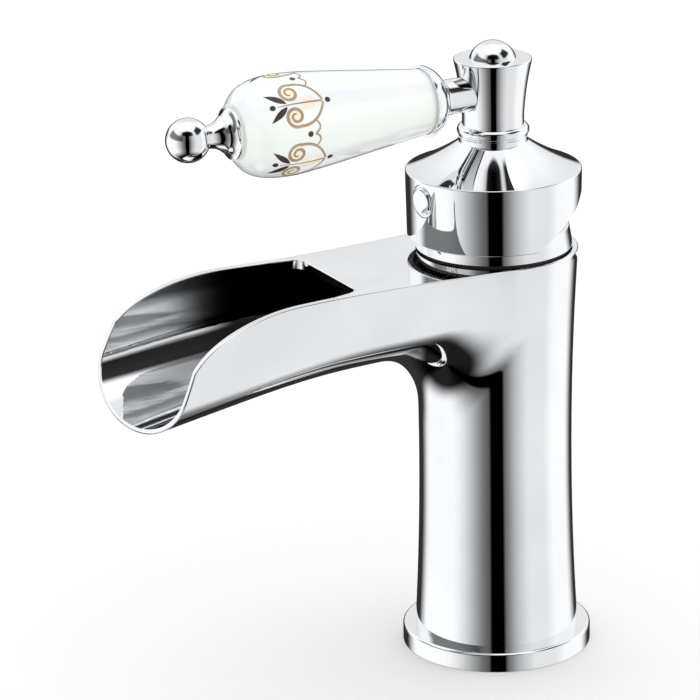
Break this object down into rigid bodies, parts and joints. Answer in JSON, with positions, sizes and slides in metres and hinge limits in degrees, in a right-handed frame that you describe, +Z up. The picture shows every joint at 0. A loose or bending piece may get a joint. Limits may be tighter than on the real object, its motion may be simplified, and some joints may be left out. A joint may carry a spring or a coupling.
{
  "type": "basin mixer tap",
  "caption": "Single-hole basin mixer tap with a waisted chrome column, an open waterfall spout and a lifting, turning lever with a white porcelain grip.",
  "frame": {"origin": "middle of the foot's hose hole, on the plane that the tap stands on", "axes": "+Z up along the column, -Y to the front along the spout, +X to the right as seen from in front of the spout"},
  "size_m": [0.055, 0.1428, 0.1777],
  "materials": {
    "chrome": "polished mirror chrome",
    "porcelain": "glossy white glaze",
    "brass": "machined",
    "steel": "turned",
    "disc_ceramic": "lapped",
    "cartridge_plastic": "moulded",
    "sleeve_plastic": "moulded",
    "rubber": "matt",
    "soft_washer": "matt, pale"
  },
  "bodies": {
    "body": {"tap_body": "chrome", "base_flange": "chrome", "base_gasket": "rubber", "cartridge_base": "cartridge_plastic", "inlet_seals": "rubber", "fixed_disc": "disc_ceramic", "cartridge_housing": "cartridge_plastic", "housing_o_ring": "rubber", "retaining_nut": "brass", "trim_ring": "chrome"},
    "swivel": {"turning_sleeve": "sleeve_plastic", "pivot_pin": "steel"},
    "lever": {"cartridge_stem": "brass", "lever_head": "chrome", "grub_screw": "steel", "index_plug": "chrome", "turret": "chrome", "top_finial": "chrome", "lever_rod": "steel", "lever_ferrule": "chrome", "inner_washer": "soft_washer", "porcelain_grip": "porcelain", "outer_washer": "soft_washer", "ball_finial": "chrome"},
    "disc": {"disc_carrier": "sleeve_plastic", "moving_disc": "disc_ceramic"}
  },
  "joints": [
    {"name": "temperature_swivel", "type": "hinge", "parent": "body", "child": "swivel", "pos_m": [0, 0, 0.122], "axis": [0, 0, 1], "range_deg": [-50, 50]},
    {"name": "flow_lift", "type": "hinge", "parent": "swivel", "child": "lever", "pos_m": [0, 0, 0.122], "axis": [-1, 0, 0], "range_deg": [0, 25]},
    {"name": "disc_slide", "type": "slide", "parent": "swivel", "child": "disc", "axis": [0, -1, 0], "range_m": [0, 0.0061]}
  ],
  "couplings": [
    {"joint": "disc_slide", "follows": "flow_lift", "m_per_rad": 0.01395}
  ]
}
